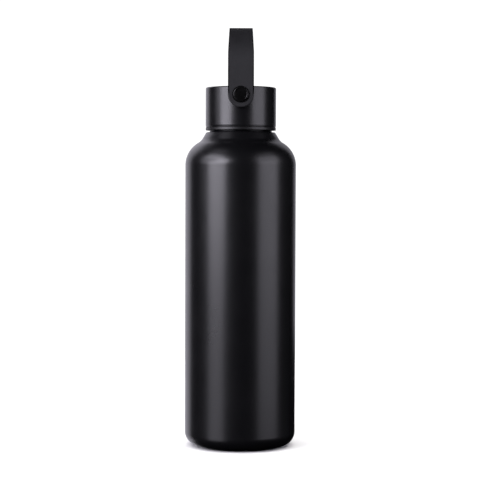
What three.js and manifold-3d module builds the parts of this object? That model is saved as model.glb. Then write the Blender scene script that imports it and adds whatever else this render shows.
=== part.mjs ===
// An insulated steel bottle: a double-walled vacuum flask with a screw cap and a carry handle
// that swings on two side pins. Millimetres, +Z up, standing on the plane z = 0 with the
// bottle's axis on the Z axis. The front of the bottle, with the front pin, faces -Y.
import * as THREE from 'three';
import { mergeVertices } from 'three/addons/utils/BufferGeometryUtils.js';
import Module from 'manifold-3d';

const wasm = await Module();
wasm.setup();

// ---- clearances ----
const seamGap = 0.3; // between two pieces that touch or are welded or pressed together
const runGap = 0.35; // between two pieces that move past each other
const cutMargin = 1; // how far a cutting solid runs past what it cuts

// ---- outer shell ----
const bodyRadius = 36.9;
const wallHeight = 187.2; // top of the straight wall
const shellWall = 0.5;
const cornerRadius = 9;
const landWidth = 2.5; // flat ring that the bottle stands on
const rimHeight = 3.4; // turned-up rim round the base opening
const shoulderRadius = 17.2; // convex arc above the straight wall
const throatRadius = 8; // concave arc that follows it
const flareAngle = 30.7; // degrees off vertical of the straight flare under the ledge
const flareLength = 4.8;
const ledgeInset = 0.5; // the ledge's edge inside the cap's side

// ---- neck ----
const neckRadius = 18.95;
const neckHeight = 14.4; // from the ledge to the drinking lip
const collarProud = 1.75; // step at the foot of the neck that centres the cap
const collarHeight = 2.8;
const lipThickness = 0.6;

// ---- screw thread ----
const threadLead = 5;
const neckRidgeProud = 1.7;
const linerRidgeProud = 1.55;
const neckRidgeShare = 0.26; // ridge section radius for each millimetre of lead
const linerRidgeShare = 0.22;
const threadRunout = 0.6; // plain neck left below and above the ridge

// ---- inner flask ----
const flaskWall = 0.4;
const vacuumGap = 2.6;
const neckVacuumGap = 0.6;
const flaskFloor = 6.2; // underside of the inner base
const flaskBaseCorner = 3.4;
const flaskBaseSkirt = 3.8; // height of the base's turned-up skirt
const foilThickness = 0.1;
const foilMargin = 5; // bare flask left below and above the foil

// ---- base ----
const basePanWall = 0.5;
const basePanHeight = 2.2; // top face of the welded pan above its skirt's lower edge
const coverWall = 0.4;
const coverCorner = 0.6;
const coverRecess = 0.5; // cover's face above the plane that the bottle stands on
const coverRim = 1.2;
const portRadius = 1.5;
const portDishRadius = 5;
const portDishDepth = 0.6;
const portPlugGap = 0.6; // round the solder bead, inside the dish

// ---- getter, in the vacuum above the base pan ----
const getterOffset = 13;
const getterRadius = 3.5;
const getterHeight = 1.0;
const getterHolderWall = 0.4;

// ---- cap ----
const capGap = 1.4; // between the shoulder's ledge and the cap's lower edge
const sleeveWall = 0.6;
const sleeveEdgeRadius = 1;
const linerWall = 1.5;
const linerFlange = 1.7; // height of the plastic band under the steel sleeve
const linerRoof = 1.4;
const sealThickness = 1.3;
const sealWidth = 4;
const sealOverhang = 1; // seal past the lip's outer edge
const chamberHeight = 11.5; // from the liner's roof to the underside of the cap's top
const linerTopGap = 0.6; // keeps the liner off the rounded edge inside the sleeve

// ---- handle and its pins ----
const pivotDrop = 5.8; // pin axis below the cap's top face
const handleSideGap = 1.1; // between the cap's side and the handle's inner face
const strapThickness = 2.8;
const strapWidth = 16.9;
const crownWidth = 15.3;
const strapRise = 45.3; // from the pin axis to the top of the handle
const taperHeight = 28; // height above the pin axis where the strap starts to narrow
const pinHeadRadius = 5;
const pinHeadThickness = 2.8;
const pinHeadChamfer = 0.5;
const pinRadius = 2;
const pinProud = 1.3; // head's face past the handle's outer face
const seatLip = 0.4; // chamfer round the head's seat
const bushWall = 1.0;
const washerWidth = 1.9;
const insertLength = 5.4;
const insertWall = 1.2;
const bossWall = 2.0;

// ---- facets ----
const roundSides = 36;
const smallSides = 20;
const ridgeStepsPerTurn = 30;

// ---- places worked out from the sizes above ----
const capRadius = neckRadius + collarProud + runGap + linerWall + seamGap + sleeveWall;
const ledgeRadius = capRadius - ledgeInset;
const flare = THREE.MathUtils.degToRad(flareAngle);
const shoulderDrop = bodyRadius - ledgeRadius - flareLength * Math.sin(flare);
const shoulderSum = shoulderRadius + throatRadius;
const shoulderTurn = Math.acos(
  (shoulderRadius + throatRadius * Math.cos(flare) - shoulderDrop) / shoulderSum,
);
const throatTop = wallHeight + shoulderSum * Math.sin(shoulderTurn) - throatRadius * Math.sin(flare);
const ledge = throatTop + flareLength * Math.cos(flare);
const collarTop = ledge + collarHeight;
const lip = ledge + neckHeight;
const shellTop = lip - lipThickness - seamGap;
const landInner = bodyRadius - cornerRadius - landWidth;

const flaskRadius = bodyRadius - shellWall - vacuumGap;
const flaskNeckRadius = neckRadius - shellWall - neckVacuumGap;
const boreRadius = flaskNeckRadius - flaskWall;
const flaskInnerRadius = flaskRadius - flaskWall;

const capBottom = ledge + capGap;
const flangeTop = capBottom + linerFlange;
const sleeveBottom = flangeTop + seamGap;
const linerInner = neckRadius + collarProud + runGap;
const linerOuter = linerInner + linerWall;
const sealBottom = lip + seamGap;
const roofBottom = sealBottom + sealThickness + seamGap;
const roofTop = roofBottom + linerRoof;
const chamberTop = roofTop + chamberHeight;
const capTop = chamberTop + sleeveWall;
const linerTop = chamberTop - linerTopGap;

const pivotHeight = capTop - pivotDrop;
const strapInner = capRadius + handleSideGap;
const strapOuter = strapInner + strapThickness;
const crownCentre = pivotHeight + strapRise - strapOuter;
const seatRadius = pinHeadRadius + seamGap;
const headBack = strapOuter + pinProud - pinHeadThickness;
const webFace = headBack - seamGap; // outer face of the strap's thin web under the head
const bushBore = pinRadius + seamGap;
const bushRadius = bushBore + bushWall;
const bushHole = bushRadius + seamGap;
const insertRadius = bushBore + insertWall;
const insertHole = insertRadius + seamGap;
const insertOuterEnd = linerInner - seamGap;
const pinEnd = insertOuterEnd - insertLength;
const bossFace = pinEnd - seamGap;
const bossHalfWidth = insertHole + bossWall;

// ---- materials ----
function finish(color, roughness, metalness) {
  return new THREE.MeshStandardMaterial({ color, roughness, metalness });
}

const powderCoat = () => finish(0x19191b, 0.42, 0.25);
const blackSteel = () => finish(0x1b1b1d, 0.3, 0.7);
const bareSteel = () => finish(0xb9bbbd, 0.3, 0.95);
const blackPlastic = () => finish(0x141415, 0.6, 0);
const strapRubber = () => finish(0x2c2b2f, 0.7, 0);

// ---- profile and solid helpers ----
function at(radius, height) {
  return new THREE.Vector2(radius, height);
}

// Points on an arc in the half-plane of a profile, angles in radians from the outward direction.
function arc(centre, radius, from, to, steps) {
  const points = [];
  for (let i = 0; i <= steps; i += 1) {
    const angle = from + ((to - from) * i) / steps;
    points.push(at(centre.x + radius * Math.cos(angle), centre.y + radius * Math.sin(angle)));
  }
  return points;
}

// The other face of a sheet of even thickness that lies on the left of an outline.
function offsetLeft(outline, thickness) {
  const normals = [];
  for (let i = 1; i < outline.length; i += 1) {
    const along = outline[i].clone().sub(outline[i - 1]).normalize();
    normals.push(at(-along.y, along.x));
  }
  return outline.map((point, i) => {
    const before = normals[Math.max(i - 1, 0)];
    const after = normals[Math.min(i, normals.length - 1)];
    const mitre = before.clone().add(after).divideScalar(1 + before.dot(after));
    return point.clone().addScaledVector(mitre, thickness);
  });
}

// The closed profile of a drawn sheet, started so that it opens and ends on the axis or closes.
function sheetProfile(outline, thickness) {
  const inner = offsetLeft(outline, thickness).reverse();
  const startsOnAxis = outline[0].x === 0;
  const endsOnAxis = outline[outline.length - 1].x === 0;
  if (startsOnAxis) {
    return [...outline, ...inner];
  }
  if (endsOnAxis) {
    return [...inner, ...outline];
  }
  return [...outline, ...inner, outline[0].clone()];
}

// A profile turned about the Z axis.
function turned(profile, sides = roundSides) {
  return new THREE.LatheGeometry(profile, sides).rotateX(Math.PI / 2);
}

// A plain ring or disc turned about the Z axis.
function ringProfile(inner, outer, bottom, top) {
  const profile = [at(inner, bottom), at(outer, bottom), at(outer, top), at(inner, top)];
  if (inner > 0) {
    profile.push(at(inner, bottom));
  }
  return profile;
}

function solidOf(geometry) {
  const bare = geometry.index ? geometry.toNonIndexed() : geometry.clone();
  bare.deleteAttribute('normal');
  bare.deleteAttribute('uv');
  const merged = mergeVertices(bare, 1e-4);
  const index = Array.from(merged.index.array);
  const kept = [];
  for (let i = 0; i < index.length; i += 3) {
    const [a, b, c] = index.slice(i, i + 3);
    if (a !== b && b !== c && c !== a) {
      kept.push(a, b, c);
    }
  }
  return new wasm.Manifold(new wasm.Mesh({
    numProp: 3,
    vertProperties: new Float32Array(merged.attributes.position.array),
    triVerts: new Uint32Array(kept),
  }));
}

function geometryOf(solid) {
  const mesh = solid.getMesh();
  const geometry = new THREE.BufferGeometry();
  geometry.setAttribute('position', new THREE.BufferAttribute(mesh.vertProperties, 3));
  geometry.setIndex(new THREE.BufferAttribute(mesh.triVerts, 1));
  geometry.computeVertexNormals();
  return geometry;
}

function addPiece(group, name, geometry, material) {
  const mesh = new THREE.Mesh(geometry, material);
  mesh.name = name;
  group.add(mesh);
  return mesh;
}

function box(low, high) {
  const size = new THREE.Vector3().subVectors(high, low);
  const centre = new THREE.Vector3().addVectors(low, high).multiplyScalar(0.5);
  return solidOf(new THREE.BoxGeometry(size.x, size.y, size.z).translate(centre.x, centre.y, centre.z));
}

// A rod along Y that crosses the Z axis at the given height.
function crossRod(radius, fromY, toY, height) {
  const length = Math.abs(toY - fromY);
  const rod = new THREE.CylinderGeometry(radius, radius, length, smallSides);
  return solidOf(rod.translate(0, (fromY + toY) / 2, height));
}

class Helix extends THREE.Curve {
  constructor(radius, startHeight, startTurn, endTurn) {
    super();
    this.radius = radius;
    this.startHeight = startHeight;
    this.startTurn = startTurn;
    this.endTurn = endTurn;
  }

  getPoint(t, target = new THREE.Vector3()) {
    const turns = this.startTurn + (this.endTurn - this.startTurn) * t;
    const angle = turns * 2 * Math.PI;
    const height = this.startHeight + turns * threadLead;
    return target.set(this.radius * Math.cos(angle), this.radius * Math.sin(angle), height);
  }
}

// A round ridge along a helix, as wide as its section radius makes it.
function threadRidge(centreRadius, sectionRadius, startHeight, startTurn, endTurn) {
  const section = new THREE.Shape().absarc(0, 0, sectionRadius, 0, 2 * Math.PI);
  const path = new Helix(centreRadius, startHeight, startTurn, endTurn);
  const steps = Math.ceil((endTurn - startTurn) * ridgeStepsPerTurn);
  return solidOf(new THREE.ExtrudeGeometry(section, {
    steps,
    curveSegments: 5,
    bevelEnabled: false,
    extrudePath: path,
  }));
}

// ---- thread places, shared by the neck and the cap's liner ----
const neckRidgeRadius = neckRidgeShare * threadLead;
const linerRidgeRadius = linerRidgeShare * threadLead;
const neckRidgeStart = collarTop + threadRunout + neckRidgeRadius;
const neckRidgeTurns = (shellTop - threadRunout - neckRidgeRadius - neckRidgeStart) / threadLead;
const linerRidgeStart = neckRidgeStart - threadLead / 2; // half a lead below the neck's ridge
const linerRidgeLow = collarTop + seamGap + linerRidgeRadius;
const linerStartTurn = (linerRidgeLow - linerRidgeStart) / threadLead;

// ---- bottle ----
function outerShell() {
  const cornerCentre = at(bodyRadius - cornerRadius, cornerRadius);
  const shoulderCentre = at(bodyRadius - shoulderRadius, wallHeight);
  const shoulder = arc(shoulderCentre, shoulderRadius, 0, shoulderTurn, 5);
  const throatCentre = at(
    shoulderCentre.x + shoulderSum * Math.cos(shoulderTurn),
    shoulderCentre.y + shoulderSum * Math.sin(shoulderTurn),
  );
  const throat = arc(throatCentre, throatRadius, Math.PI + shoulderTurn, Math.PI + flare, 4);
  const outline = [
    at(landInner, rimHeight),
    at(landInner, 0),
    ...arc(cornerCentre, cornerRadius, -Math.PI / 2, 0, 4),
    ...shoulder,
    ...throat.slice(1),
    at(ledgeRadius, ledge),
    at(neckRadius + collarProud, ledge),
    at(neckRadius + collarProud, collarTop),
    at(neckRadius, collarTop),
    at(neckRadius, shellTop),
  ];
  const shell = solidOf(turned(sheetProfile(outline, shellWall)));
  const ridge = threadRidge(
    neckRadius + neckRidgeProud - neckRidgeRadius,
    neckRidgeRadius,
    neckRidgeStart,
    0,
    neckRidgeTurns,
  );
  const core = solidOf(turned(ringProfile(0, neckRadius - shellWall / 2, ledge, lip)));
  return geometryOf(shell.add(ridge.subtract(core)));
}

function innerFlask() {
  const drop = flaskRadius - flaskNeckRadius;
  const rise = collarTop - shellWall - wallHeight;
  const bend = 2 * Math.atan(drop / rise);
  const shoulder = shoulderRadius - shellWall - vacuumGap;
  const throat = rise / Math.sin(bend) - shoulder;
  const shoulderCentre = at(flaskRadius - shoulder, wallHeight);
  const throatCentre = at(flaskNeckRadius + throat, wallHeight + rise);
  const outline = [
    at(flaskRadius, flaskFloor),
    ...arc(shoulderCentre, shoulder, 0, bend, 4),
    ...arc(throatCentre, throat, Math.PI + bend, Math.PI, 4).slice(1),
    at(flaskNeckRadius, lip - lipThickness),
    at(neckRadius, lip - lipThickness),
    at(neckRadius, lip),
    at(boreRadius, lip),
  ];
  const lower = outline.slice(0, -3);
  const inside = offsetLeft(lower, flaskWall).slice(0, -1).reverse();
  return turned([...outline, ...inside, outline[0].clone()]);
}

// A pan with a flat floor and a turned-up skirt, its outer radius and floor height given.
function panOutline(radius, floor, corner, skirt) {
  return [
    at(0, floor),
    ...arc(at(radius - corner, floor + corner), corner, -Math.PI / 2, 0, 2),
    at(radius, floor + skirt),
  ];
}

function innerBase() {
  const radius = flaskInnerRadius - seamGap;
  return turned(sheetProfile(panOutline(radius, flaskFloor, flaskBaseCorner, flaskBaseSkirt), flaskWall));
}

function heatFoil() {
  const inner = flaskRadius + seamGap;
  const bottom = flaskFloor + foilMargin;
  const top = wallHeight - foilMargin;
  return turned(ringProfile(inner, inner + foilThickness, bottom, top));
}

// The base pan opens downwards: a flat web with a turned-down skirt and a dished port.
const panRadius = landInner - seamGap;
const panTop = coverRecess + seamGap + basePanHeight;

function outerBase() {
  const web = panTop - basePanWall;
  const skirtBottom = coverRecess + seamGap;
  return turned([
    at(portRadius, web + portDishDepth),
    at(portDishRadius, web + portDishDepth),
    at(portDishRadius + portDishDepth, web),
    at(panRadius - basePanWall, web),
    at(panRadius - basePanWall, skirtBottom),
    at(panRadius, skirtBottom),
    at(panRadius, panTop),
    at(portDishRadius + portDishDepth, panTop),
    at(portDishRadius, panTop + portDishDepth),
    at(portRadius, panTop + portDishDepth),
    at(portRadius, web + portDishDepth),
  ]);
}

function portPlug() {
  const head = panTop - basePanWall + portDishDepth - seamGap;
  const stem = portRadius - seamGap;
  return turned([
    at(0, head - portDishDepth),
    at(portDishRadius - portPlugGap, head - portDishDepth),
    at(portDishRadius - portPlugGap, head),
    at(stem, head),
    at(stem, head + basePanWall),
    at(0, head + basePanWall),
  ], smallSides);
}

function baseCover() {
  const radius = panRadius - basePanWall - seamGap;
  return turned(sheetProfile(panOutline(radius, coverRecess, coverCorner, coverRim), coverWall));
}

const getterFloor = panTop + seamGap;

function getterHolder() {
  const radius = getterRadius + seamGap + getterHolderWall;
  const height = getterHolderWall + seamGap + getterHeight;
  const outline = [at(0, getterFloor), at(radius, getterFloor), at(radius, getterFloor + height)];
  return turned(sheetProfile(outline, getterHolderWall), smallSides);
}

function getterPill() {
  const bottom = getterFloor + getterHolderWall + seamGap;
  return turned(ringProfile(0, getterRadius, bottom, bottom + getterHeight), smallSides);
}

function buildBottle() {
  const bottle = new THREE.Group();
  addPiece(bottle, 'outer_shell', outerShell(), powderCoat());
  addPiece(bottle, 'outer_base', outerBase(), bareSteel());
  addPiece(bottle, 'base_cover', baseCover(), blackSteel());
  addPiece(bottle, 'port_plug', portPlug(), finish(0xa8a9ab, 0.5, 0.8));
  addPiece(bottle, 'inner_flask', innerFlask(), bareSteel());
  addPiece(bottle, 'inner_base', innerBase(), bareSteel());
  addPiece(bottle, 'heat_foil', heatFoil(), finish(0xd9dadc, 0.2, 1));
  const getterPlace = new THREE.Group();
  getterPlace.position.x = getterOffset;
  addPiece(getterPlace, 'getter_holder', getterHolder(), bareSteel());
  addPiece(getterPlace, 'getter', getterPill(), finish(0x6f7072, 0.8, 0.6));
  bottle.add(getterPlace);
  return bottle;
}

// ---- cap ----
function capSeal() {
  const outer = neckRadius + sealOverhang;
  return turned(ringProfile(outer - sealWidth, outer, sealBottom, sealBottom + sealThickness));
}

function capShell() {
  const edgeCentre = at(capRadius - sleeveEdgeRadius, capTop - sleeveEdgeRadius);
  const outline = [
    at(capRadius, sleeveBottom),
    ...arc(edgeCentre, sleeveEdgeRadius, 0, Math.PI / 2, 3),
    at(0, capTop),
  ];
  const sleeve = solidOf(turned(sheetProfile(outline, sleeveWall)));
  return geometryOf(sleeve.subtract(crossRod(bushHole, -strapOuter, strapOuter, pivotHeight)));
}

function capLiner() {
  let liner = solidOf(turned([
    at(0, roofBottom),
    at(linerInner, roofBottom),
    at(linerInner, capBottom),
    at(capRadius, capBottom),
    at(capRadius, flangeTop),
    at(linerOuter, flangeTop),
    at(linerOuter, linerTop),
    at(linerInner, linerTop),
    at(linerInner, roofTop),
    at(0, roofTop),
  ]));
  const ridge = threadRidge(
    linerInner - linerRidgeProud + linerRidgeRadius,
    linerRidgeRadius,
    linerRidgeStart,
    linerStartTurn,
    neckRidgeTurns,
  );
  const middleOfWall = linerInner + linerWall / 2;
  const inside = solidOf(turned(ringProfile(0, middleOfWall, capBottom, roofBottom)));
  liner = liner.add(ridge.intersect(inside));
  for (const side of [-1, 1]) {
    const low = new THREE.Vector3(-bossHalfWidth, Math.min(side * bossFace, side * middleOfWall), 0);
    const high = new THREE.Vector3(bossHalfWidth, Math.max(side * bossFace, side * middleOfWall), 0);
    low.z = roofBottom + linerRoof / 2;
    high.z = linerTop;
    const boss = box(low, high).intersect(solidOf(turned(ringProfile(0, middleOfWall, low.z, high.z))));
    liner = liner.add(boss);
    liner = liner.subtract(crossRod(insertHole, 0, side * linerInner, pivotHeight));
  }
  return geometryOf(liner.subtract(crossRod(bushBore, -strapOuter, strapOuter, pivotHeight)));
}

// The foam puck fills the chamber round the two bosses.
function capInsulation() {
  const bottom = roofTop + seamGap;
  const top = linerTop - seamGap;
  let puck = solidOf(turned(ringProfile(0, linerInner - seamGap, bottom, top)));
  for (const side of [-1, 1]) {
    const ends = [side * (bossFace - seamGap), side * linerOuter];
    const low = new THREE.Vector3(-bossHalfWidth - seamGap, Math.min(...ends), bottom - cutMargin);
    const high = new THREE.Vector3(bossHalfWidth + seamGap, Math.max(...ends), top + cutMargin);
    puck = puck.subtract(box(low, high));
  }
  return geometryOf(puck);
}

// The pieces on one pin, made for the front side, where outwards is -Y from the pin's own origin.
function buildPivot(side, headMaterial) {
  const pivot = new THREE.Group();
  const rings = [
    ['pivot_bush', bushBore, bushRadius, webFace, linerOuter + seamGap],
    ['friction_washer', bushHole, bushHole + washerWidth, strapInner - seamGap, capRadius + seamGap],
    ['boss_insert', bushBore, insertRadius, insertOuterEnd, insertOuterEnd - insertLength],
  ];
  const looks = {
    pivot_bush: finish(0xd8d6cf, 0.5, 0),
    friction_washer: finish(0x1c1c1e, 0.6, 0),
    boss_insert: finish(0xb08d4a, 0.35, 1),
  };
  for (const [name, inner, outer, near, far] of rings) {
    const geometry = new THREE.LatheGeometry(ringProfile(inner, outer, -near, -far), smallSides);
    addPiece(pivot, `${name}_${side}`, geometry, looks[name]);
  }
  const face = -(headBack + pinHeadThickness);
  const pin = new THREE.LatheGeometry([
    at(0, face),
    at(pinHeadRadius - pinHeadChamfer, face),
    at(pinHeadRadius, face + pinHeadChamfer),
    at(pinHeadRadius, -headBack),
    at(pinRadius, -headBack),
    at(pinRadius, -pinEnd),
    at(0, -pinEnd),
  ], smallSides);
  addPiece(pivot, `pivot_pin_${side}`, pin, headMaterial);
  pivot.position.z = pivotHeight;
  return pivot;
}

function buildCap() {
  const cap = new THREE.Group();
  addPiece(cap, 'cap_seal', capSeal(), finish(0x9b9c9e, 0.6, 0));
  addPiece(cap, 'cap_shell', capShell(), blackSteel());
  addPiece(cap, 'cap_liner', capLiner(), blackPlastic());
  addPiece(cap, 'cap_insulation', capInsulation(), finish(0xe6e4dc, 0.9, 0));
  const front = buildPivot('front', blackSteel());
  const back = buildPivot('back', blackSteel());
  back.rotation.z = Math.PI;
  cap.add(front, back);
  return cap;
}

// ---- handle ----
// An arch of even thickness, cut to the strap's outline and bored for the two pins.
// Its own origin is on the pin axis.
function carryHandle() {
  const centre = crownCentre - pivotHeight;
  const end = strapWidth / 2;
  const arch = new THREE.Shape();
  arch.moveTo(strapOuter, -end);
  arch.lineTo(strapOuter, centre);
  arch.absarc(0, centre, strapOuter, 0, Math.PI, false);
  arch.lineTo(-strapOuter, -end);
  arch.lineTo(-strapInner, -end);
  arch.lineTo(-strapInner, centre);
  arch.absarc(0, centre, strapInner, Math.PI, 0, true);
  arch.lineTo(strapInner, -end);
  const width = strapWidth + 2 * cutMargin;
  const band = new THREE.ExtrudeGeometry(arch, { depth: width, bevelEnabled: false, curveSegments: 14 });
  band.translate(0, 0, -width / 2);
  band.rotateX(Math.PI / 2);
  band.rotateZ(Math.PI / 2);

  const face = new THREE.Shape();
  face.absarc(0, 0, end, Math.PI, 0, false);
  face.lineTo(end, taperHeight);
  face.lineTo(crownWidth / 2, strapRise + cutMargin);
  face.lineTo(-crownWidth / 2, strapRise + cutMargin);
  face.lineTo(-end, taperHeight);
  const depth = 2 * (strapOuter + cutMargin);
  const outline = new THREE.ExtrudeGeometry(face, { depth, bevelEnabled: false, curveSegments: 10 });
  outline.translate(0, 0, -depth / 2);
  outline.rotateX(Math.PI / 2);

  let strap = solidOf(band).intersect(solidOf(outline));
  strap = strap.subtract(crossRod(bushHole, -strapOuter - cutMargin, strapOuter + cutMargin, 0));
  for (const side of [-1, 1]) {
    strap = strap.subtract(crossRod(seatRadius, side * webFace, side * (strapOuter + cutMargin), 0));
    const lipRod = new THREE.CylinderGeometry(seatRadius + 2 * seatLip, seatRadius, 2 * seatLip, smallSides);
    if (side < 0) {
      lipRod.rotateX(Math.PI);
    }
    strap = strap.subtract(solidOf(lipRod.translate(0, side * strapOuter, 0)));
  }
  return geometryOf(strap);
}

function buildHandle() {
  const handle = new THREE.Group();
  addPiece(handle, 'carry_handle', carryHandle(), strapRubber());
  handle.position.z = pivotHeight;
  return handle;
}

const bottleWithCap = new THREE.Group();
bottleWithCap.add(buildBottle(), buildCap(), buildHandle());

export default bottleWithCap;
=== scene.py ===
import bpy
import math
from mathutils import Matrix, Vector


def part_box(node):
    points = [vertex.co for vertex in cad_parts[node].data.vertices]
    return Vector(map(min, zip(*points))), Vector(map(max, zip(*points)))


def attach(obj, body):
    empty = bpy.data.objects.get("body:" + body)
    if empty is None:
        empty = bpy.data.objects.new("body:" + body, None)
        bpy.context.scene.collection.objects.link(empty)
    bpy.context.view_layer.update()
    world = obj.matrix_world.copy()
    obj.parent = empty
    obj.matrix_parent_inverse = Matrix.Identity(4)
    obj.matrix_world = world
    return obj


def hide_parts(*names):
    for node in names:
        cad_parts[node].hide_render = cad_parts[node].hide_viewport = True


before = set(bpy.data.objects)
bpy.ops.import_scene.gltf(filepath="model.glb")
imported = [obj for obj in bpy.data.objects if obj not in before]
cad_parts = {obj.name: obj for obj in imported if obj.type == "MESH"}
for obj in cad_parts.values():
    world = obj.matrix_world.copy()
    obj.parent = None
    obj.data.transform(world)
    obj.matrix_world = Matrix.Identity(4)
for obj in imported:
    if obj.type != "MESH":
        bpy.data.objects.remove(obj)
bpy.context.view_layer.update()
print("frame loaded:", len(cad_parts), "nodes")

mm = 0.001
fullTurn = 2 * math.pi
quarterTurn = math.pi / 2


# ways of working

def deselectAll():
    if bpy.context.object and bpy.context.object.mode == "EDIT":
        bpy.ops.object.mode_set(mode="OBJECT")
    bpy.ops.object.select_all(action="DESELECT")


def takeUp(piece):
    # the one selected and active object
    deselectAll()
    piece.select_set(True)
    bpy.context.view_layer.objects.active = piece


def applyModifier(piece, kind, **values):
    takeUp(piece)
    modifier = piece.modifiers.new(kind.title(), kind)
    for key, value in values.items():
        setattr(modifier, key, value)
    bpy.ops.object.modifier_apply(modifier=modifier.name)


def arcPoints(centre, radius, start, end, steps):
    # angles in degrees, 0 is outwards from the axis and 90 is up
    points = []
    for i in range(steps + 1):
        angle = math.radians(start + (end - start) * i / steps)
        points.append((centre[0] + radius * math.cos(angle), centre[1] + radius * math.sin(angle)))
    return points


def softCorners(corners, steps=5):
    # a corner is (radius, height) or (radius, height, rounding), all in millimetres
    points = []
    for i, corner in enumerate(corners):
        here = Vector(corner[:2])
        rounding = corner[2] if len(corner) > 2 else 0
        if not rounding:
            points.append(tuple(here))
            continue
        before = (Vector(corners[i - 1][:2]) - here).normalized()
        after = (Vector(corners[(i + 1) % len(corners)][:2]) - here).normalized()
        half = before.angle(after) / 2
        centre = here + (before + after).normalized() * rounding / math.sin(half)
        start = here + before * rounding / math.tan(half) - centre
        end = here + after * rounding / math.tan(half) - centre
        for k in range(steps + 1):
            share = k / steps
            spoke = (start * (1 - share) + end * share).normalized()
            points.append(tuple(centre + spoke * rounding))
    return points


def climb(radius, low, high, step):
    # evenly spaced points up a straight wall
    count = max(1, round((high - low) / step))
    return [(radius, low + (high - low) * i / count) for i in range(count + 1)]


def pullOutline(name, places):
    # a plane is shrunk to one vertex, which is then extruded along the outline
    deselectAll()
    bpy.ops.mesh.primitive_plane_add(size=mm)
    piece = bpy.context.object
    piece.name = piece.data.name = name
    bpy.ops.object.mode_set(mode="EDIT")
    bpy.ops.mesh.select_all(action="SELECT")
    bpy.ops.mesh.merge(type="CENTER")
    bpy.ops.transform.translate(value=places[0])
    for before, after in zip(places, places[1:]):
        bpy.ops.mesh.extrude_vertices_move(TRANSFORM_OT_translate={"value": after - before})
    return piece


def closeSeams(piece, gap=0.004):
    # still in edit mode: merges doubled vertices and turns the faces outwards
    bpy.ops.mesh.select_all(action="SELECT")
    bpy.ops.mesh.remove_doubles(threshold=gap * mm)
    bpy.ops.mesh.normals_make_consistent(inside=False)
    bpy.ops.object.mode_set(mode="OBJECT")


def turnPiece(name, outline, steps, axis="Z", origin=(0, 0, 0)):
    # spins an outline of (radius, distance along the axis) in millimetres round that axis
    along = Vector((0, 0, 1)) if axis == "Z" else Vector((0, 1, 0))
    start = Vector(origin)
    places = [start + Vector((r * mm, 0, 0)) + along * h * mm for r, h in outline]
    piece = pullOutline(name, places)
    bpy.ops.mesh.select_all(action="SELECT")
    bpy.ops.mesh.spin(steps=steps, angle=fullTurn, center=start, axis=along)
    closeSeams(piece)
    return piece


def shade(piece, angle=35):
    # smooth but for the sharp edges, and wide faces stay flat beside narrow rounded ones
    takeUp(piece)
    bpy.ops.object.shade_smooth_by_angle(angle=math.radians(angle))
    applyModifier(piece, "WEIGHTED_NORMAL", keep_sharp=True, weight=60)


def place(piece, material, body, slot, *nodes):
    # gives a piece its finish, hangs it on its body's empty and hides the frame nodes that it
    # replaces
    piece.data.materials.clear()
    piece.data.materials.append(material)
    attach(piece, body)
    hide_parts(*nodes)


def copyTurned(piece, name, angle):
    # a copy with its own mesh, turned about the bottle's axis
    twin = piece.copy()
    twin.data = piece.data.copy()
    twin.name = twin.data.name = name
    bpy.context.collection.objects.link(twin)
    twin.data.transform(Matrix.Rotation(angle, 4, "Z"))
    return twin


def ease(value):
    value = min(max(value, 0), 1)
    return value * value * (3 - 2 * value)


# places taken from the frame, in millimetres

def nodeBox(name):
    low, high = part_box(name)
    return low / mm, high / mm


shellHigh = nodeBox("outer_shell")[1]
linerLow, linerHigh = nodeBox("cap_liner")
sleeveLow, sleeveHigh = nodeBox("cap_shell")
sealLow, sealHigh = nodeBox("cap_seal")
flaskLow, flaskHigh = nodeBox("inner_flask")
handleLow, handleHigh = nodeBox("carry_handle")
pinLow, pinHigh = nodeBox("pivot_pin_front")
washerLow, washerHigh = nodeBox("friction_washer_front")
bushLow, bushHigh = nodeBox("pivot_bush_front")
insertLow, insertHigh = nodeBox("boss_insert_front")

bodyRadius = shellHigh.x
capRadius = sleeveHigh.x
capBottom = linerLow.z
capTop = sleeveHigh.z
shellTop = shellHigh.z
lip = flaskHigh.z
pivotHeight = (pinLow.z + pinHigh.z) / 2

neckSizes = {
    "ledgeUnderCap": 1.4,
    "ledgeInset": 0.5,
    "radius": 18.95,
    "collarProud": 1.75,
    "collarHeight": 2.8,
    "lead": 5.0,
    "linerGap": 0.35,
    "threadStart": 1.9,
    "wallStep": 0.5,
    # painted shade: heights round the ledge over which the coat's reflection is faded out
    "paintedShadeAbove": (-0.13, 0.07),
}
ledge = capBottom - neckSizes["ledgeUnderCap"]
neckRadius = neckSizes["radius"]
collarRadius = neckRadius + neckSizes["collarProud"]
collarTop = ledge + neckSizes["collarHeight"]
linerInner = collarRadius + neckSizes["linerGap"]


threadSpacing = 0.2  # height between the rings of a wall that takes a thread


def rollThread(piece, wall, ridge, low, high):
    # pushes a turned wall out, or in, along a right-hand helix; both ends of the ridge fade out
    lead = neckSizes["lead"]
    for vertex in piece.data.vertices:
        x, y, z = (value / mm for value in vertex.co)
        radius = math.hypot(x, y)
        if abs(radius - wall) > 0.02 or not low < z < high:
            continue
        angle = math.atan2(y, x) / fullTurn
        turn = angle + round((z - ridge["start"]) / lead - angle)
        fade = ease((turn - ridge["firstTurn"]) / ridge["fade"])
        fade *= ease((ridge["lastTurn"] - turn) / ridge["fade"])
        off = min(abs(z - ridge["start"] - turn * lead) / ridge["halfWidth"], 1)
        lift = ridge["proud"] * fade * (0.5 + 0.5 * math.cos(math.pi * off))
        vertex.co.x *= (radius + lift) / radius
        vertex.co.y *= (radius + lift) / radius


neckRidge = {
    "start": collarTop + neckSizes["threadStart"],
    "firstTurn": -0.05,
    "lastTurn": 1.45,
    "fade": 0.12,
    "proud": 1.7,
    "halfWidth": 1.5,
}
linerRidge = {
    "start": neckRidge["start"] - neckSizes["lead"] / 2,
    "firstTurn": 0.36,
    "lastTurn": 1.5,
    "fade": 0.1,
    "proud": -1.55,
    "halfWidth": 1.35,
}


# finishes

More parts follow.
